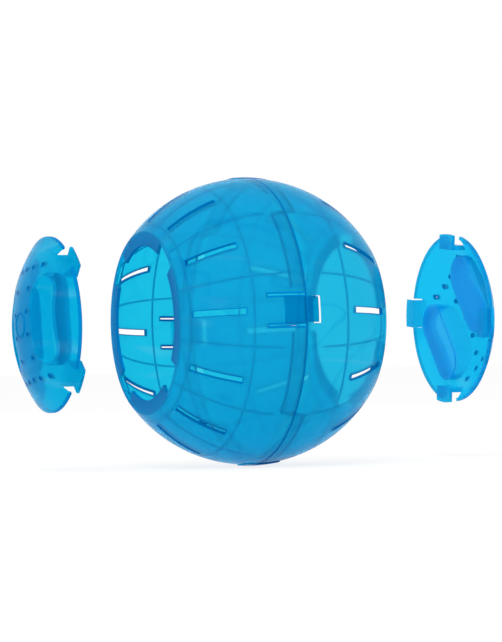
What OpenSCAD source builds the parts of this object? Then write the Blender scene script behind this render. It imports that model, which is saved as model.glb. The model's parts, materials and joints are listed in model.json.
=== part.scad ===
// Hamster ball: two alike moulded halves that clip together on the middle plane, and a bayonet
// door for the round mouth at each end of the axle, shown taken off and in line with it.
// X runs along the axle, Z is up, and the origin is the point of the floor that the ball stands on.

/* [Ball] */
// Outer radius of the ball
ball_r = 90; // [75:1:130]
// Wall thickness of the two halves
wall = 2; // [1.6:0.1:3]
// Turn of the clipped ball about its axle, as it has rolled to rest
shell_turn = 3.5; // [-15:0.5:15]
// Gap between the faces of the two halves
seam_gap = 0.2; // [0.1:0.05:0.5]

/* [Mouth] */
// Inner radius of the mouth ring, under which the door's hooks turn
ring_r = 48; // [46.5:0.5:50]
// Width of the mouth ring's face, out to the ball's outer surface
ring_w = 8.94; // [8:0.1:10]
// Thickness of the mouth ring
ring_t = 2; // [1.5:0.1:2.4]
// Room either side of a hook in its entry gap
entry_room = 1; // [0.6:0.1:1.5]
// Radial room between a hook's toe and the end of its entry gap
toe_room = 1; // [0.6:0.1:1.2]

/* [Slots and ribs] */
// Count of air slots round each half
slot_count = 12; // [8:1:14]
// Width of an air slot
slot_w = 3.6; // [2:0.1:5]
// Distance along the wall from the mouth to the start of a slot
slot_margin = 9; // [6:0.5:12]
// Distance along the wall from the end of a slot to the seam
slot_stop = 37.7; // [34:0.1:42]
// Width of the raised ribs inside the wall
rib_w = 1.1; // [0.8:0.1:2]
// Height of the raised ribs inside the wall
rib_h = 0.7; // [0.4:0.1:1]
// Distance along the wall from the long ribs' ends to the seam
rib_stop = 12.6; // [10:0.1:15]
// Distance along the wall from the ring of ribs by the mouth to the slots
rib_before = 2.4; // [1.5:0.1:4]
// Distance along the wall from the slots to the ring of ribs past them
rib_after = 5.2; // [3:0.1:7]

/* [Clips] */
// Width of a clip tongue
tongue_w = 15.6; // [12:0.2:18]
// Reach of a tongue past the seam, over the other half
tongue_reach = 7.7; // [6:0.1:9]
// Length of a tongue's pad on its own half
tongue_pad = 14.5; // [10:0.5:18]
// Height of a tongue above the wall
tongue_proud = 0.7; // [0.5:0.1:2]
// Radial room between a tongue and the sunk wall below it
tongue_room = 0.6; // [0.5:0.05:0.8]
// Distance from the seam to the window that the tongue ends over
window_from = 4.7; // [4:0.1:5.5]
// Distance from the seam to the window's far edge
window_to = 10.2; // [9.5:0.1:11]
// Length of the slits that let a tongue bend
slit_len = 24; // [18:1:28]
// Width of a slit
slit_w = 1; // [0.6:0.1:1.5]
// Distance from a tongue's side to the middle of its slit
slit_side = 1.5; // [1:0.1:2]

/* [Inner lips] */
// Reach of an inner lip past the seam
lip_reach = 8.3; // [5:0.1:9]
// Height over which a lip's root grows out of its own wall
lip_root = 5; // [3:0.5:8]
// Thickness of an inner lip
lip_t = 1.5; // [1:0.1:2]
// Radial room between a lip and the half that it reaches into
lip_room = 0.3; // [0.2:0.05:0.5]
// Distance from a tongue's place to the lip beside it
lip_side = 6; // [4:0.5:8]
// Distance between the ends of the two halves' lips
lip_gap = 1.5; // [1:0.1:3]

/* [Doors] */
// Reach of a door's rim past the ring's inner edge
door_lap = 6; // [5:0.1:6.5]
// Wall thickness of a door
door_wall = 2; // [1.6:0.1:2.2]
// Gap between a closed door and the mouth ring
door_gap = 0.3; // [0.2:0.05:0.5]
// Distance that the left door stands off its closed place
left_lift = 61.3; // [20:0.1:90]
// Distance that the right door stands off its closed place
right_lift = 74.5; // [20:0.1:90]
// Direction of the left door's grip bar, as an angle up from the front
left_door_turn = 97; // [0:1:359]
// Direction of the right door's grip bar, as an angle up from the front
right_door_turn = 127; // [0:1:359]
// Width of a hook
hook_w = 18; // [12:0.5:19]
// Thickness of a hook's toe
toe_t = 1.8; // [1.2:0.1:2.2]
// Room between a hook's toe and the ring above it
toe_gap = 0.4; // [0.3:0.05:0.6]
// Reach of a hook's toe past the ring's inner edge
toe_lap = 6.5; // [5:0.1:7]
// Thickness of a hook's stem
stem_t = 3; // [2:0.1:3.5]
// Room between a hook's stem and the ring's inner edge
stem_room = 0.5; // [0.3:0.1:0.8]
// Room either side of a hook in the cut-out of the rim above its toe
cutout_room = 0.6; // [0.3:0.1:1.5]

/* [Finger pockets] */
// Length of a finger pocket
pocket_l = 52; // [40:1:56]
// Width of a finger pocket
pocket_w = 21.5; // [16:0.5:23]
// Distance from the door's middle to a pocket's middle
pocket_off = 25.3; // [23:0.1:26.5]
// Depth of a pocket at its middle
pocket_d = 13; // [8:0.5:14]
// Diameter of a vent hole
vent_d = 2.6; // [1.5:0.1:3]
// Distance from the door's middle to the vent rows along the bar
vent_off = 9.5; // [8:0.1:10]
// Distance from the door's middle to the vent rows past the pockets
vent_row = 34; // [32:0.5:36]
// Radius of the raised ring at the door's middle
boss_r = 8; // [5:0.5:8]
// Width of the raised ring
boss_w = 1.2; // [0.8:0.1:2]
// Height of the raised ring
boss_h = 0.5; // [0.3:0.1:1]

/* [Hidden] */
$fn = 128;

quarter = 90;
// Overrun of every cut past the wall that it goes through
over = 3;
// Depth by which joined pieces run into each other
bite = 0.3;
inner_r = ball_r - wall;
tongue_out_r = ball_r + tongue_proud;
// A tongue's underside lies half its room below the wall's face and the sunk wall the rest
tongue_in_r = ball_r - tongue_room / 2;
sunk_r = tongue_in_r - tongue_room;
centre_h = tongue_out_r;
// Distance from the ball's centre to the face of the mouth ring
mouth_out_r = ring_r + ring_w;
mouth_z = sqrt(ball_r * ball_r - mouth_out_r * mouth_out_r);
// Angles from the axle at which the air slots start and end
slot_from = asin(mouth_out_r / ball_r) + arc_angle(slot_margin);
slot_to = quarter - arc_angle(slot_stop);
slot_mid = (slot_from + slot_to) / 2;
slot_len = 2 * ball_r * sin((slot_to - slot_from) / 2);
// Middle of the wall where the mouth ring runs into it
ring_out_r = (mouth_out_r + sqrt(inner_r * inner_r - pow(mouth_z - ring_t, 2))) / 2;
toe_r = ring_r + toe_lap;
entry_r = toe_r + toe_room;
entry_half = asin((hook_w / 2 + entry_room) / ring_r);
// The two rings of ribs lie at the ends of the air slots
ring_rib_angles = [slot_from - arc_angle(rib_before), slot_to + arc_angle(rib_after)];
// A lip covers its quadrant apart from the tongue's place and half the gap at its end
lip_from = asin((tongue_w / 2 + lip_side) / inner_r);
lip_to = quarter / 2 - arc_angle(lip_gap / 2);
slit_off = tongue_w / 2 + slit_side;

door_r = ring_r + door_lap;
// Turn from a door's grip bar to its first hook
hook_turn = 42;
seat_z = mouth_z + door_gap;
skirt_top = sqrt(ball_r * ball_r - door_r * door_r) - bite;
toe_top = mouth_z - ring_t - toe_gap;
stem_out = ring_r - stem_room;
floor_z = sqrt(ball_r * ball_r - pocket_off * pocket_off) - pocket_d;
left_bar = left_door_turn;
right_bar = 3 * quarter - right_door_turn;
// Places of the vents along the grip bar and past the pockets, as shares of the pocket's length
bar_vent_shares = [-0.41, -0.136, 0.136, 0.41];
row_vent_shares = [-0.4, -0.19, 0, 0.19, 0.4];

// Angle that a length along the ball's wall spans
function arc_angle(length) = length / ball_r * 180 / PI;

// Spherical skin between two radii and two heights above the seam
module skin_zone(r_in, r_out, z_from, z_to) {
    rotate_extrude()
        skin_outline(r_in, r_out, z_from, z_to);
}

module skin_outline(r_in, r_out, z_from, z_to) {
    intersection() {
        difference() {
            circle(r_out);
            circle(r_in);
        }
        translate([0, z_from])
            square([r_out + over, z_to - z_from]);
    }
}

// Straight bar that points out from the axle, for cutting the skin to a width
module radial_bar(width, r_from, r_to, z_from, z_to) {
    translate([r_from, -width / 2, z_from])
        cube([r_to - r_from, width, z_to - z_from]);
}

// Wall, mouth ring and ring ribs, all turned from one outline
module half_body() {
    rotate_extrude() {
        skin_outline(inner_r, ball_r, seam_gap / 2, mouth_z);
        translate([ring_r, mouth_z - ring_t])
            square([ring_out_r - ring_r, ring_t]);
        for (angle = ring_rib_angles)
            rotate([0, 0, quarter - angle])
                translate([inner_r - rib_h, -rib_w / 2])
                    square([rib_h + bite, rib_w]);
    }
}

// Long ribs, each slab crossing the ball and so making a pair
module long_ribs() {
    intersection() {
        skin_zone(inner_r - rib_h, inner_r + bite, ball_r * sin(arc_angle(rib_stop)), mouth_z - ring_t / 2);
        for (i = [0 : slot_count - 1])
            rotate([0, 0, (2 * i + 1) * 180 / slot_count])
                radial_bar(rib_w, ring_r / 2, ball_r, 0, ball_r);
    }
}

module air_slots() {
    for (i = [0 : slot_count - 1])
        rotate([0, slot_mid, i * 360 / slot_count])
            translate([-slot_len / 2, -slot_w / 2, inner_r - over])
                cube([slot_len, slot_w, wall + 2 * over]);
}

// Lip inside the wall, either side of a tongue's place, that keeps the other half in line
module inner_lip(side) {
    start = side > 0 ? lip_from : -lip_to;
    rotate([0, 0, start])
        rotate_extrude(angle = lip_to - lip_from) {
            polygon([
                [inner_r - lip_room - lip_t, seam_gap / 2],
                [inner_r, lip_root],
                [inner_r + bite, lip_root],
                [inner_r + bite, seam_gap / 2]
            ]);
            skin_outline(inner_r - lip_room - lip_t, inner_r - lip_room, -lip_reach, seam_gap);
        }
}

// Clip tongue: a pad on its own wall that runs on past the seam
module tongue() {
    intersection() {
        union() {
            skin_zone(ball_r - bite, tongue_out_r, seam_gap / 2, tongue_pad);
            skin_zone(tongue_in_r, tongue_out_r, -tongue_reach, seam_gap);
        }
        radial_bar(tongue_w, ball_r / 2, ball_r + over, -tongue_pad, 2 * tongue_pad);
    }
}

module tongue_slits() {
    for (side = [-1, 1])
        translate([0, side * slit_off, 0])
            radial_bar(slit_w, ball_r / 2, ball_r + over, -over, slit_len);
}

// Seat for the other half's tongue: the wall is sunk as far as a window that goes through it
module tongue_seat() {
    seat_w = tongue_w + 2 * tongue_room;
    intersection() {
        skin_zone(sunk_r, ball_r + over, -over, window_to);
        radial_bar(seat_w, ball_r / 2, ball_r + 2 * over, -over, window_to);
    }
    radial_bar(seat_w, ball_r - wall - over, ball_r + over, window_from, window_to);
}

// Gap in the mouth ring that lets a hook in, rounded to the hook's reach
module entry_gap() {
    translate([0, 0, mouth_z - ring_t - bite])
        rotate([0, 0, -entry_half])
            rotate_extrude(angle = 2 * entry_half)
                translate([ring_r - over, 0])
                    square([entry_r - ring_r + over, ring_t + over]);
}

// One moulded half, its middle plane at zero and its mouth upwards
module half_shell(entry_turn) {
    difference() {
        union() {
            half_body();
            long_ribs();
            for (quadrant = [quarter, -quarter], side = [-1, 1])
                rotate([0, 0, quadrant])
                    inner_lip(side);
            for (place = [0, 2 * quarter])
                rotate([0, 0, place])
                    tongue();
        }
        air_slots();
        for (place = [0, 2 * quarter])
            rotate([0, 0, place])
                tongue_slits();
        for (place = [quarter, 3 * quarter])
            rotate([0, 0, place])
                tongue_seat();
        for (i = [0 : 3])
            rotate([0, 0, entry_turn + i * quarter])
                entry_gap();
    }
}

// Dome, rim skirt and middle ring of a door, turned from one outline
module door_body() {
    rotate_extrude() {
        intersection() {
            skin_outline(ball_r - door_wall, ball_r, seat_z, ball_r + over);
            square([door_r, ball_r + over]);
        }
        translate([door_r - door_wall, seat_z])
            square([door_wall, skirt_top - seat_z]);
        intersection() {
            skin_outline(ball_r - bite, ball_r + boss_h, mouth_z, ball_r + over);
            translate([boss_r - boss_w, 0])
                square([boss_w, ball_r + over]);
        }
    }
}

// Finger pocket outline with round ends, grown by a margin
module pocket_outline(margin) {
    run = pocket_l - pocket_w;
    for (end = [-1, 1])
        translate([end * run / 2, 0])
            circle(pocket_w / 2 + margin);
    square([run, pocket_w + 2 * margin], center = true);
}

// Outside of a pocket: walls and floor, up to the middle of the dome's wall
module pocket_walls() {
    intersection() {
        translate([0, pocket_off, floor_z - door_wall])
            linear_extrude(ball_r - floor_z)
                pocket_outline(door_wall);
        sphere(ball_r - door_wall / 2);
    }
}

module pocket_hollow() {
    translate([0, pocket_off, floor_z])
        linear_extrude(ball_r)
            pocket_outline(0);
}

// Hook with its stem inside the ring and its toe below it
module hook() {
    intersection() {
        union() {
            radial_bar(hook_w, stem_out - stem_t, stem_out, toe_top - toe_t, ball_r);
            radial_bar(hook_w, stem_out - stem_t, ball_r, toe_top - toe_t, toe_top);
        }
        cylinder(h = ball_r, r = toe_r);
        sphere(ball_r - door_wall / 2);
    }
}

module vents() {
    for (side = [-1, 1]) {
        for (share = bar_vent_shares)
            translate([share * pocket_l, side * vent_off, seat_z])
                cylinder(h = ball_r, d = vent_d);
        for (share = row_vent_shares)
            translate([side * vent_row, share * pocket_l, seat_z])
                cylinder(h = ball_r, d = vent_d);
    }
}

// One door in its closed place over the mouth, its grip bar along X
module door() {
    difference() {
        union() {
            door_body();
            for (side = [0, 1])
                rotate([0, 0, side * 2 * quarter])
                    pocket_walls();
            for (i = [0 : 3])
                rotate([0, 0, hook_turn + i * quarter])
                    hook();
        }
        for (side = [0, 1])
            rotate([0, 0, side * 2 * quarter])
                pocket_hollow();
        for (i = [0 : 3])
            rotate([0, 0, hook_turn + i * quarter])
                radial_bar(hook_w + 2 * cutout_room, stem_out, door_r + over, seat_z - bite, ball_r);
        vents();
    }
}

// Ends of the axle: the left mouth looks along -X, and the right one along +X
module left_end() {
    translate([0, 0, centre_h])
        rotate([quarter, 0, -quarter])
            children();
}

module right_end() {
    translate([0, 0, centre_h])
        rotate([0, quarter, 0])
            children();
}

module left_half() {
    color("deepskyblue")
        left_end()
            rotate([0, 0, shell_turn])
                half_shell(left_bar + hook_turn - shell_turn);
}

module right_half() {
    color("dodgerblue")
        right_end()
            rotate([0, 0, -shell_turn])
                half_shell(right_bar + hook_turn + shell_turn);
}

module left_door() {
    color("steelblue")
        left_end()
            translate([0, 0, left_lift])
                rotate([0, 0, left_bar])
                    door();
}

module right_door() {
    color("royalblue")
        right_end()
            translate([0, 0, right_lift])
                rotate([0, 0, right_bar])
                    door();
}

left_half();
right_half();
left_door();
right_door();
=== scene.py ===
"""Hamster ball of clear blue plastic: two clipped halves and two doors, dressed and lit for a picture."""

import json
import logging
import math
from dataclasses import dataclass
from enum import Enum

import bpy
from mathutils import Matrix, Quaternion, Vector


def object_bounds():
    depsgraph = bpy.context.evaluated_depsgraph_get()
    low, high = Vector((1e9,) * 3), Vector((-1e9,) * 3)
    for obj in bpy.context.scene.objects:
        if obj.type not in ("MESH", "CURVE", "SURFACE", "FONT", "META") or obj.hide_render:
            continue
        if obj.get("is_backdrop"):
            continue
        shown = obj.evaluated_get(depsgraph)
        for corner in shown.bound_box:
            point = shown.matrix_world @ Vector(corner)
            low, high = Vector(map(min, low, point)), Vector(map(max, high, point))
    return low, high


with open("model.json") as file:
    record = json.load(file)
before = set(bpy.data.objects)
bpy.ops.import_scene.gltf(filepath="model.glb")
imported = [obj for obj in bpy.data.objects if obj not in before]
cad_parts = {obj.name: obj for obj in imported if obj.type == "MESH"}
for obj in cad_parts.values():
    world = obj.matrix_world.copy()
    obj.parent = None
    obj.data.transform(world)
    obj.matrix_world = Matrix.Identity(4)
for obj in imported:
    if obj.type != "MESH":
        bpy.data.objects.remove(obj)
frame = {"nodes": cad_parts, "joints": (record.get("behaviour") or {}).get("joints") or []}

log = logging.getLogger("hamster_ball")

MM = 0.001

Colour = tuple[float, float, float, float]
WHITE: Colour = (1.0, 1.0, 1.0, 1.0)
MIX_FIRST, MIX_SECOND, MIX_RESULT = 6, 7, 2        # colour sockets of a Mix node


class Wave(Enum):
    """How closely a moulded skin ripples: long waves on the ball, shorter ones on the thin doors."""

    SHELL = 26.0
    DOOR = 42.0


class Side(Enum):
    """Which way along the axle a door's dome points."""

    LEFT = -1.0
    RIGHT = 1.0


def joint_reach(name: str) -> float:
    """Reads from the frame how far a sliding joint goes."""
    return next(row["range_m"][1] for row in frame["joints"] if row["name"] == name)


class Value:
    """A shader socket that takes part in Python arithmetic and adds its Math nodes."""

    def __init__(self, kit: "NodeKit", socket: bpy.types.NodeSocket) -> None:
        """Keeps the node kit and the socket."""
        self.kit = kit
        self.socket = socket

    def _math(self, operation: str, first: "Value | float", second: "Value | float") -> "Value":
        """Adds one Math node.

        Args:
            operation: Math operation in Blender's words.
            first: left term.
            second: right term.

        Returns:
            The node's result.
        """
        return self.kit.node("ShaderNodeMath", {"operation": operation}, {0: first, 1: second})

    def __add__(self, other: "Value | float") -> "Value":
        """Adds."""
        return self._math("ADD", self, other)

    def __radd__(self, other: "Value | float") -> "Value":
        """Adds, with a plain number on the left."""
        return self._math("ADD", other, self)

    def __sub__(self, other: "Value | float") -> "Value":
        """Subtracts."""
        return self._math("SUBTRACT", self, other)

    def __rsub__(self, other: "Value | float") -> "Value":
        """Subtracts from a plain number."""
        return self._math("SUBTRACT", other, self)

    def __mul__(self, other: "Value | float") -> "Value":
        """Multiplies."""
        return self._math("MULTIPLY", self, other)

    def __rmul__(self, other: "Value | float") -> "Value":
        """Multiplies, with a plain number on the left."""
        return self._math("MULTIPLY", other, self)

    def __pow__(self, other: "Value | float") -> "Value":
        """Raises to a power."""
        return self._math("POWER", self, other)

    def __abs__(self) -> "Value":
        """Drops the sign."""
        return self._math("ABSOLUTE", self, 0.0)

    def part(self, name: str) -> "Value":
        """Hands back another output of the same node."""
        return Value(self.kit, self.socket.node.outputs[name])

    def over(self, limit: float, soft: float) -> "Value":
        """Says where the value is over a limit.

        Args:
            limit: middle of the step.
            soft: half the width over which it rises.

        Returns:
            0 below the step and 1 above it.
        """
        return self.kit.node("ShaderNodeMapRange", {"interpolation_type": "SMOOTHSTEP"},
                             {"Value": self, 1: limit - soft, 2: limit + soft, 3: 0.0, 4: 1.0})

    def under(self, limit: float, soft: float) -> "Value":
        """Says where the value is under a limit, as over does."""
        return 1.0 - self.over(limit, soft)

    def either(self, other: "Value") -> "Value":
        """Takes the larger of two masks."""
        return self._math("MAXIMUM", self, other)

    def lower(self, other: "Value") -> "Value":
        """Takes the smaller of two values."""
        return self._math("MINIMUM", self, other)

    def length(self, other: "Value") -> "Value":
        """Takes the long side of a right triangle with these two short ones."""
        return (self * self + other * other) ** 0.5

    def swing(self, reach: float) -> "Value":
        """Folds the value to and fro between 0 and a reach."""
        return self._math("PINGPONG", self, reach)

    def angle(self, other: "Value") -> "Value":
        """Takes the angle at which this value rises over the other."""
        return self._math("ARCTAN2", self, other)

    def sine(self) -> "Value":
        """Takes the sine."""
        return self._math("SINE", self, 0.0)

    def cosine(self) -> "Value":
        """Takes the cosine."""
        return self._math("COSINE", self, 0.0)


class NodeKit:
    """Builds one material's or world's node tree."""

    def __init__(self, tree: bpy.types.NodeTree) -> None:
        """Starts with an empty tree."""
        self.tree = tree
        tree.nodes.clear()

    def node(self, kind: str, settings: dict[str, object], links: dict[int | str, object],
             output: int | str = 0) -> Value:
        """Adds one node.

        Args:
            kind: node type.
            settings: attributes that are set first.
            links: socket name or number to a Value or a plain value.
            output: name or number of the socket that is handed back.

        Returns:
            The wanted output as a Value.
        """
        made = self.tree.nodes.new(kind)
        for name, value in settings.items():
            setattr(made, name, value)
        for key, value in links.items():
            if isinstance(value, Value):
                self.tree.links.new(value.socket, made.inputs[key])
            else:
                made.inputs[key].default_value = value
        return Value(self, made.outputs[output])

    def mix(self, factor: Value, first: "Value | Colour", second: "Value | Colour") -> Value:
        """Mixes two colours.

        Args:
            factor: 0 gives the first colour and 1 the second.
            first: a colour or a link.
            second: a colour or a link.

        Returns:
            The mixed colour.
        """
        return self.node("ShaderNodeMix", {"data_type": "RGBA"},
                         {"Factor": factor, MIX_FIRST: first, MIX_SECOND: second}, MIX_RESULT)

    def finish(self, surface: Value, volume: Value | None = None, kind: str = "Material") -> None:
        """Adds the output node.

        Args:
            surface: shader of the surface.
            volume: shader of the inside, if it has one.
            kind: Material or World.
        """
        made = self.tree.nodes.new(f"ShaderNodeOutput{kind}")
        self.tree.links.new(surface.socket, made.inputs["Surface"])
        if volume is not None:
            self.tree.links.new(volume.socket, made.inputs["Volume"])


class Place:
    """A point's place measured from a centre on the axle."""

    def __init__(self, kit: NodeKit, centre: Vector) -> None:
        """Adds the nodes that measure along, back, up, off the axle and out from the centre.

        Args:
            kit: node kit of the material.
            centre: point that the distances are taken from.
        """
        self.spot = kit.node("ShaderNodeTexCoord", {}, {}, "Object")
        from_centre = kit.node("ShaderNodeVectorMath", {"operation": "SUBTRACT"},
                               {0: self.spot, 1: tuple(centre)})
        self.along = kit.node("ShaderNodeSeparateXYZ", {}, {0: from_centre}, "X")
        self.back = self.along.part("Y")
        self.up = self.along.part("Z")
        self.off_axle = self.back.length(self.up)
        self.out = kit.node("ShaderNodeVectorMath", {"operation": "LENGTH"}, {0: from_centre}, "Value")


@dataclass(frozen=True)
class Grain:
    """Settings of one noise pattern in the plastic."""

    scale: float
    detail: float
    distortion: float = 0.0
    roughness: float = 0.5

    def lay(self, kit: NodeKit, spot: Value) -> Value:
        """Adds the noise.

        Args:
            kit: node kit of the material.
            spot: coordinates that it reads.

        Returns:
            The noise, about 0.5 on average.
        """
        return kit.node("ShaderNodeTexNoise", {},
                        {"Vector": spot, "Scale": self.scale, "Detail": self.detail,
                         "Roughness": self.roughness, "Distortion": self.distortion})


@dataclass(frozen=True)
class Shell:
    """Where the ball's halves are thick or end in an edge, from their moulded sizes.

    A weight says how much of the painted edge shade's tint a feature takes. Over 1 it takes more of the dark
    matte shader that paints that shade too.
    """

    centre: Vector
    ball_r: float = 90.0 * MM
    inner_r: float = 88.0 * MM
    tongue_step: float = 0.2 * MM
    ring_face: float = 69.7 * MM
    ring_skin: float = 0.12 * MM
    ring_r: float = 48.0 * MM
    ring_weight: float = 0.38
    rib_weight: float = 0.5
    lip_reach: float = 8.4 * MM
    lip_depth: float = 0.2 * MM
    lip_line: float = 1.0 * MM
    lip_line_depth: float = 0.25 * MM
    lip_end_half: float = 1.3 * MM
    slit_off: float = 9.3 * MM
    slit_half: float = 1.6 * MM
    slit_len: float = 24.3 * MM
    slit_weight: float = 1.3
    slot_half: float = 2.2 * MM
    slot_from: float = math.radians(44.6)
    slot_to: float = math.radians(66.4)
    slot_turn: float = math.radians(3.5)
    half_step: float = math.radians(15.0)
    quarter: float = math.radians(90.0)
    seam_half: float = 0.5 * MM
    skin: float = 0.15 * MM
    soft: float = 0.15 * MM
    firm: float = 0.1 * MM
    crisp: float = 0.04 * MM
    crisp_turn: float = 0.003

    def edge(self, place: Place) -> Value:
        """Masks ribs, slot and slit walls, the lips' ends, the seam's faces and the mouth ring, which get
        painted shade as dark lines.

        Args:
            place: the point's place from the ball's centre.

        Returns:
            1 on an edge, less on a rib or the ring, and 0 on the plain wall.
        """
        turn = place.up.angle(0.0 - place.back) - self.slot_turn
        reach = abs(place.along)
        lean = place.off_axle.angle(reach)
        across = place.off_axle * turn.swing(self.half_step).sine()
        slot = (across.under(self.slot_half, self.soft) * lean.over(self.slot_from, self.crisp_turn)
                * lean.under(self.slot_to, self.crisp_turn))
        inside = place.out.under(self.inner_r - self.lip_line_depth, self.soft)
        on_lip = reach.under(self.lip_reach, self.crisp)
        lip_line = inside * reach.over(self.lip_reach - self.lip_line, self.firm) * (
            on_lip * (1.0 - self.rib_weight) + self.rib_weight)
        from_end = place.off_axle * (turn - self.quarter / 2).swing(self.quarter / 2).sine()
        lip_end = inside * on_lip * from_end.under(self.lip_end_half, self.soft)
        outside = place.out.over(self.inner_r - self.skin, self.crisp)
        left = place.along.under(0.0, self.crisp)
        from_front = turn.swing(self.quarter)
        from_tongue = place.off_axle * (left * from_front.sine() + (1.0 - left) * from_front.cosine())
        slit = (abs(from_tongue - self.slit_off).under(self.slit_half, self.soft)
                * reach.under(self.slit_len, self.firm) * outside * self.slit_weight)
        seam = reach.under(self.seam_half, self.firm) * outside
        ring = reach.over(self.ring_face - self.ring_skin, self.crisp) * self.ring_weight
        bore = place.off_axle.under(self.ring_r + self.skin, self.crisp)
        return slot.either(lip_line).either(lip_end).either(slit).either(seam).either(ring).either(bore)

    def pad(self, place: Place) -> Value:
        """Masks the clip tongues, which stand proud of the wall: 1 on a tongue and 0 elsewhere."""
        return place.out.over(self.ball_r + self.tongue_step, self.firm)

    def thin(self, place: Place) -> Value:
        """Masks the lips inside the wall, thinner and paler than it: 1 on a lip and 0 elsewhere."""
        inside = place.out.under(self.inner_r - self.lip_depth, self.soft)
        return inside * abs(place.along).under(self.lip_reach, self.crisp)


@dataclass(frozen=True)
class Cap:
    """Where a door is thick or ends in an edge, from its moulded sizes.

    A weight says how much of the painted edge shade's or the pad's tint a feature takes.
    """

    centre: Vector
    side: Side
    bar_turn: float
    rim_weight: float
    wall_weight: float
    ball_r: float = 90.0 * MM
    inner_r: float = 88.0 * MM
    skin: float = 0.3 * MM
    boss_step: float = 0.1 * MM
    boss_fade: float = 0.05 * MM
    boss_weight: float = 0.5
    rim_r: float = 54.0 * MM
    rim_skin: float = 0.35 * MM
    seat: float = 70.0 * MM
    seat_skin: float = 0.2 * MM
    floor_high: float = 74.2 * MM
    floor_fade: float = 0.3 * MM
    hook_r: float = 44.0 * MM
    hook_fade: float = 0.5 * MM
    hook_weight: float = 0.35
    pocket_off: float = 25.3 * MM
    pocket_fade: float = 4.0 * MM
    vent_half: float = 1.7 * MM
    bar_vent_mid: float = 14.2 * MM
    bar_vent_apart: float = 7.13 * MM
    bar_vent_off: float = 9.5 * MM
    row_vent_off: float = 34.0 * MM
    row_vent_near: float = 9.88 * MM
    row_vent_far: float = 20.8 * MM
    soft: float = 0.2 * MM
    firm: float = 0.1 * MM
    crisp: float = 0.04 * MM

    def edge(self, place: Place) -> Value:
        """Masks the pocket walls, the rim, the middle ring and the vents, which get painted shade as dark
        walls and lines.

        Args:
            place: the point's place from the closed ball's centre, as the door lies now.

        Returns:
            1 on a vent, less on the other edges, and 0 on the plain dome.
        """
        height = place.along * self.side.value
        inside = place.out.under(self.inner_r - self.skin, self.soft)
        wall = (inside * height.over(self.floor_high, self.floor_fade)
                * place.off_axle.under(self.hook_r, self.hook_fade)
                * self.off_bar(place).over(self.pocket_off, self.pocket_fade))
        rim = (place.off_axle.over(self.rim_r - self.rim_skin, self.firm)
               * height.over(self.seat - self.seat_skin, self.crisp))
        boss = place.out.over(self.ball_r + self.boss_step, self.boss_fade) * self.boss_weight
        return (wall * self.wall_weight).either(rim * self.rim_weight).either(boss).either(self.vents(place))

    def off_bar(self, place: Place) -> Value:
        """Measures how far a point lies to either side of the grip bar."""
        return abs(place.up * math.cos(self.bar_turn) + place.back * math.sin(self.bar_turn))

    def vents(self, place: Place) -> Value:
        """Masks the round vents: two rows of four along the grip bar and two of five past the pockets.

        Args:
            place: the point's place from the closed ball's centre.

        Returns:
            1 on a vent's wall and the skin round it, and 0 elsewhere.
        """
        toward = abs(place.up * math.sin(self.bar_turn) - place.back * math.cos(self.bar_turn))
        across = self.off_bar(place)
        along_bar = abs(abs(toward - self.bar_vent_mid) - self.bar_vent_apart)
        on_bar = along_bar.length(abs(across - self.bar_vent_off))
        steps = across.lower(abs(across - self.row_vent_near)).lower(abs(across - self.row_vent_far))
        in_row = abs(toward - self.row_vent_off).length(steps)
        return (on_bar.lower(in_row).under(self.vent_half, self.soft)
                * place.out.over(self.inner_r - self.skin, self.firm))

    def pad(self, place: Place) -> Value:
        """Masks the hooks below the rim: their weight on a hook and 0 elsewhere."""
        inside = place.out.under(self.inner_r - self.skin, self.soft)
        return inside * place.off_axle.over(self.hook_r, self.soft) * self.hook_weight

    def thin(self, place: Place) -> Value:
        """Masks the floors of the finger pockets: 1 on a floor and 0 elsewhere."""
        height = place.along * self.side.value
        return height.under(self.floor_high, self.soft) * place.off_axle.under(self.hook_r, self.soft)


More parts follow.
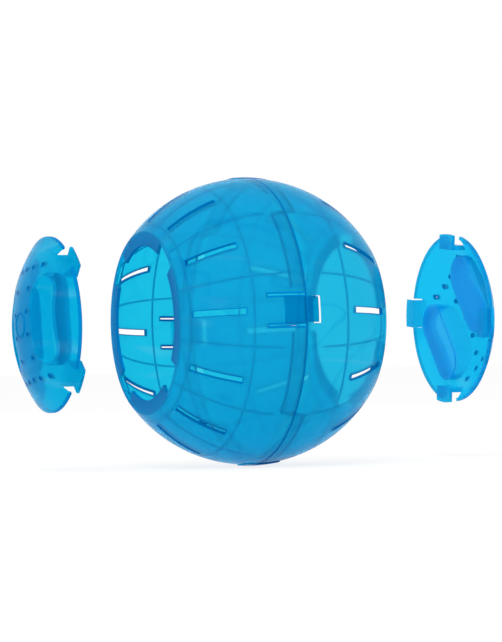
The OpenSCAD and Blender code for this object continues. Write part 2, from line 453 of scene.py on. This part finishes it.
@dataclass(frozen=True)
class ClearPlastic:
    """See-through moulded plastic that deepens with the way light takes through it.

    Part of it is milky, and its thin places keep thin_milk of that share.
    """

    name: str
    wave: Wave
    places: Shell | Cap
    tint: Colour = (0.028, 0.685, 0.895, 1.0)
    pale_tint: Colour = (0.05, 0.745, 0.915, 1.0)
    cloud: Grain = Grain(14.0, 3.0)
    # painted highlight: pale wavy streaks in the colour stand in for soft reflections on the wall
    highlight_streak_tint: Colour = (0.3, 0.82, 0.97, 1.0)
    highlight_streak: Grain = Grain(9.0, 2.0, distortion=0.6)
    highlight_streak_stretch: tuple[float, float, float] = (1.0, 1.2, 6.0)
    highlight_streak_from: float = 0.66
    highlight_streak_fade: float = 0.05
    highlight_streak_share: float = 0.3
    # thin darker wavy lines drawn along a contour of a noise, only where the cloud is paler
    wavy_line_tint: Colour = (0.0, 0.42, 0.75, 1.0)
    wavy_line: Grain = Grain(15.0, 1.0, distortion=1.5)
    wavy_line_level: float = 0.5
    wavy_line_half: float = 0.012
    wavy_line_fade: float = 0.08
    wavy_line_share: float = 0.4
    thin_tint: Colour = (0.3, 0.97, 1.0, 1.0)
    thin_milk: float = 0.15
    pad_tint: Colour = (0.0, 0.31, 0.58, 1.0)
    # painted shade: dark lines along ribs, slots, slits, the seam, lips, rims, pocket walls and vents, where
    # refraction would darken the clear wall
    edge_shade_tint: Colour = (0.004, 0.14, 0.4, 1.0)
    edge_shade_coat_tint: Colour = (0.0, 0.2, 0.5, 1.0)
    edge_shade_coat_roughness: float = 0.5
    edge_shade_coat_share: float = 0.7
    milk_tint: Colour = (0.0, 0.73, 0.93, 1.0)
    milk_share: float = 0.3
    gleam_tint: Colour = (0.0, 0.5, 0.9, 1.0)
    depth_tint: Colour = (0.362, 0.909, 0.99, 1.0)
    depth_density: float = 220.0
    clearness: float = 0.86
    ior: float = 1.09
    polish: float = 0.15
    rub: float = 0.12
    scuff: Grain = Grain(900.0, 4.0)
    scuff_power: float = 4.0
    ripple_height: float = 0.3 * MM
    ripple_detail: float = 1.5
    ripple_roughness: float = 0.4

    def body_tint(self, kit: NodeKit, place: Place, thin: Value) -> Value:
        """Lays clouds, painted highlight streaks and thin darker wavy lines over the wall, and the tints of
        its thin and thick places.

        Args:
            kit: node kit of the material.
            place: the point's place from the centre.
            thin: mask of the thin places.

        Returns:
            The colour of the plastic away from its edges.
        """
        cloud = self.cloud.lay(kit, place.spot)
        wall = kit.mix(cloud, self.tint, self.pale_tint)
        # painted highlight: stretched noise lays pale streaks for the soft reflections on the wall
        highlight_stretch = kit.node("ShaderNodeMapping", {}, {"Vector": place.spot, "Scale": self.highlight_streak_stretch})
        highlight_streak = self.highlight_streak.lay(kit, highlight_stretch).over(self.highlight_streak_from, self.highlight_streak_fade)
        wall = kit.mix(highlight_streak * self.highlight_streak_share, wall, self.highlight_streak_tint)
        wavy_line = abs(self.wavy_line.lay(kit, place.spot) - self.wavy_line_level).under(self.wavy_line_half, self.wavy_line_half)
        wavy_lines = wavy_line * cloud.over(self.wavy_line_level, self.wavy_line_fade) * self.wavy_line_share
        wall = kit.mix(wavy_lines, wall, self.wavy_line_tint)
        wall = kit.mix(thin, wall, self.thin_tint)
        return kit.mix(self.places.pad(place), wall, self.pad_tint)

    def build(self) -> bpy.types.Material:
        """Makes the material.

        Returns:
            The finished material.
        """
        material = bpy.data.materials.new(self.name)
        material.use_nodes = True
        kit = NodeKit(material.node_tree)
        place = Place(kit, self.places.centre)
        thin = self.places.thin(place)
        edge = self.places.edge(place)
        # painted shade: the edge mask darkens the colour along edges
        tint = kit.mix(edge, self.body_tint(kit, place, thin), self.edge_shade_tint)
        roughness = self.polish + self.rub * self.scuff.lay(kit, place.spot) ** self.scuff_power
        waves = Grain(self.wave.value, self.ripple_detail, roughness=self.ripple_roughness)
        bump = kit.node("ShaderNodeBump", {},
                        {"Strength": 1.0, "Distance": self.ripple_height,
                         "Height": waves.lay(kit, place.spot)})
        plastic = kit.node("ShaderNodeBsdfPrincipled", {},
                           {"Base Color": tint, "Roughness": roughness, "Normal": bump, "IOR": self.ior,
                            "Transmission Weight": self.clearness, "Specular Tint": self.gleam_tint})
        # a dark matte shader mixed in along the same edges paints more of that shade
        edge_shade_coat = kit.node("ShaderNodeBsdfPrincipled", {},
                        {"Base Color": self.edge_shade_coat_tint, "Roughness": self.edge_shade_coat_roughness, "Normal": bump,
                         "Specular IOR Level": 0.0})
        milk = kit.node("ShaderNodeBsdfTranslucent", {}, {"Color": self.milk_tint})
        milky = self.milk_share * (1.0 - thin * (1.0 - self.thin_milk))
        cloudy = kit.node("ShaderNodeMixShader", {}, {0: milky, 1: plastic, 2: milk})
        both = kit.node("ShaderNodeMixShader", {}, {0: edge * self.edge_shade_coat_share, 1: cloudy, 2: edge_shade_coat})
        depth = kit.node("ShaderNodeVolumeAbsorption", {},
                         {"Color": self.depth_tint, "Density": self.depth_density})
        kit.finish(both, depth)
        return material


@dataclass
class Moulding:
    """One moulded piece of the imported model, which keeps its shape and gets its finish here."""

    node: str
    plastic: ClearPlastic
    weld: float = 0.002 * MM
    crease: float = math.radians(30.0)

    def smooth(self, piece: bpy.types.Object) -> None:
        """Shades the round faces smoothly and keeps the creases sharp.

        Args:
            piece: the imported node's object.
        """
        piece.data.shade_smooth()
        join = piece.modifiers.new("join_faces", "WELD")
        join.merge_threshold = self.weld
        split = piece.modifiers.new("keep_creases", "EDGE_SPLIT")
        split.split_angle = self.crease
        split.use_edge_sharp = False

    def dress(self) -> None:
        """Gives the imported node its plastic."""
        piece = frame["nodes"][self.node]
        self.smooth(piece)
        piece.data.materials.clear()
        piece.data.materials.append(self.plastic.build())
        log.info("%s dressed in %s", self.node, self.plastic.name)


@dataclass
class Ball:
    """The two clipped halves and the two doors, which lie off their mouths by their joints' reach."""

    centre: Vector
    left_bar_turn: float = math.radians(97.0)
    right_bar_turn: float = math.radians(127.0)

    def dress_halves(self) -> None:
        """Dresses the two halves alike."""
        for node in ("left_half", "right_half"):
            Moulding(node, ClearPlastic(f"{node}_plastic", Wave.SHELL, Shell(self.centre))).dress()

    def dress_left_door(self) -> None:
        """Dresses the left door, whose outside shows: deeper plastic with painted shade darkening its pocket
        walls and rim.
        """
        lift = Vector((joint_reach("left_door_on"), 0, 0))
        # the rim and wall weights set how much painted shade darkens the rim and pocket walls
        cap = Cap(self.centre - lift, Side.LEFT, self.left_bar_turn, rim_weight=1.0, wall_weight=0.75)
        Moulding("left_door", ClearPlastic(
            "left_door_plastic", Wave.DOOR, cap, tint=(0.003, 0.57, 0.85, 1.0),
            pale_tint=(0.01, 0.61, 0.87, 1.0), thin_tint=(0.03, 0.7, 0.88, 1.0), thin_milk=1.0)).dress()

    def dress_right_door(self) -> None:
        """Dresses the right door, whose inside shows: paler plastic with bluer pocket floors."""
        lift = Vector((joint_reach("right_door_on"), 0, 0))
        cap = Cap(self.centre + lift, Side.RIGHT, self.right_bar_turn, rim_weight=0.3, wall_weight=0.25)
        Moulding("right_door", ClearPlastic(
            "right_door_plastic", Wave.DOOR, cap, tint=(0.02, 0.65, 0.95, 1.0),
            pale_tint=(0.04, 0.69, 0.97, 1.0), thin_tint=(0.06, 0.62, 1.0, 1.0), thin_milk=1.0,
            milk_tint=(0.03, 0.74, 1.0, 1.0))).dress()

    def dress(self) -> None:
        """Dresses all four mouldings."""
        self.dress_halves()
        self.dress_left_door()
        self.dress_right_door()


@dataclass(frozen=True)
class SoftLamp:
    """One square lamp: its place from the ball's centre and its size in metres, and its power in watts."""

    name: str
    place: tuple[float, float, float]
    size: float
    power: float

    def hang(self, centre: Vector) -> None:
        """Hangs the lamp so that it faces the centre and shows in no reflection.

        Args:
            centre: centre of the ball.
        """
        lamp = bpy.data.lights.new(self.name, "AREA")
        lamp.size = self.size
        lamp.energy = self.power
        holder = bpy.data.objects.new(self.name, lamp)
        bpy.context.scene.collection.objects.link(holder)
        holder.location = centre + Vector(self.place)
        holder.rotation_euler = (holder.location - centre).to_track_quat("Z", "Y").to_euler()
        holder.visible_glossy = False
        holder.visible_transmission = False


@dataclass
class Studio:
    """Pale floor, white surround, soft lamps and the camera of the photograph."""

    centre: Vector
    ball_r: float = 90.0 * MM
    azimuth: float = math.radians(-23.95)
    elevation: float = math.radians(-0.8)
    roll: float = math.radians(1.3)
    distance_in_radii: float = 21.58
    focal_px: float = 3087.0
    ball_px: tuple[float, float] = (246.9, 321.5)
    picture_px: tuple[int, int] = (502, 642)
    sensor_mm: float = 36.0
    surround_light: float = 0.9
    floor_size: float = 60.0
    floor_drop: float = 0.2 * MM
    floor_paint: Colour = (0.95, 0.95, 0.95, 1.0)
    floor_white_share: float = 0.82
    lamps: tuple[SoftLamp, ...] = (
        SoftLamp("key_lamp", (-1.2, -2.0, 2.5), 1.6, 65.0),
        SoftLamp("fill_lamp", (1.9, -1.3, 1.1), 1.4, 2.0),
        SoftLamp("back_lamp", (0.6, 1.9, 1.5), 1.6, 2.0),
    )

    def background_share(self, kit: NodeKit, share: float) -> Value:
        """Says which rays see the plain white background.

        Args:
            kit: node kit of the tree.
            share: part of it that they see.

        Returns:
            The mixing factor.
        """
        seen = [kit.node("ShaderNodeLightPath", {}, {}, ray)
                for ray in ("Is Camera Ray", "Is Glossy Ray", "Is Transmission Ray")]
        total = seen[0] + seen[1] + seen[2]
        return kit.node("ShaderNodeClamp", {}, {"Value": total}) * share

    def surround(self) -> None:
        """Makes the world: white to look at, a little less as a light."""
        world = bpy.data.worlds.new("white_surround")
        bpy.context.scene.world = world
        world.use_nodes = True
        kit = NodeKit(world.node_tree)
        light = kit.node("ShaderNodeBackground", {}, {"Color": WHITE, "Strength": self.surround_light})
        white = kit.node("ShaderNodeBackground", {}, {"Color": WHITE, "Strength": 1.0})
        mixed = kit.node("ShaderNodeMixShader", {}, {0: self.background_share(kit, 1.0), 1: light, 2: white})
        kit.finish(mixed, kind="World")

    def floor(self) -> None:
        """Lays the pale floor, which keeps a soft shadow."""
        bpy.ops.object.select_all(action="DESELECT")
        bpy.ops.mesh.primitive_plane_add(size=self.floor_size, location=(0, 0, -self.floor_drop))
        floor = bpy.context.object
        floor.name = "floor"
        bpy.ops.object.transform_apply(location=True)
        material = bpy.data.materials.new("pale_floor")
        material.use_nodes = True
        kit = NodeKit(material.node_tree)
        paint = kit.node("ShaderNodeBsdfDiffuse", {}, {"Color": self.floor_paint})
        glow = kit.node("ShaderNodeEmission", {}, {"Color": WHITE, "Strength": 1.0})
        share = self.background_share(kit, self.floor_white_share)
        kit.finish(kit.node("ShaderNodeMixShader", {}, {0: share, 1: paint, 2: glow}))
        floor.data.materials.append(material)
        floor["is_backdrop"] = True

    def camera(self) -> None:
        """Sets the camera where the photograph was taken from."""
        data = bpy.data.cameras.new("camera")
        data.sensor_width = self.sensor_mm
        long_side = max(self.picture_px)
        data.lens = self.focal_px / long_side * self.sensor_mm
        data.shift_x = (self.picture_px[0] / 2 - self.ball_px[0]) / long_side
        data.shift_y = (self.ball_px[1] - self.picture_px[1] / 2) / long_side
        data.clip_end = self.floor_size
        holder = bpy.data.objects.new("camera", data)
        bpy.context.scene.collection.objects.link(holder)
        back = Vector((math.sin(self.azimuth) * math.cos(self.elevation),
                       -math.cos(self.azimuth) * math.cos(self.elevation), math.sin(self.elevation)))
        holder.location = self.centre + back * self.distance_in_radii * self.ball_r
        holder.rotation_mode = "QUATERNION"
        upright = back.to_track_quat("Z", "Y")
        holder.rotation_quaternion = upright @ Quaternion((0, 0, 1), -self.roll)
        bpy.context.scene.camera = holder

    def build(self) -> None:
        """Sets up the whole studio."""
        bpy.context.scene.view_settings.view_transform = "Standard"
        self.surround()
        self.floor()
        for lamp in self.lamps:
            lamp.hang(self.centre)
        self.camera()
        log.info("studio ready")


def main() -> None:
    """Dresses the ball and builds the studio round the centre of the model's box."""
    logging.basicConfig(level=logging.INFO)
    cad_box = [list(corner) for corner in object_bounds()]
    centre = Vector((0, 0, (cad_box[0][2] + cad_box[1][2]) / 2))
    Ball(centre).dress()
    Studio(centre).build()


if __name__ == "__main__":
    main()
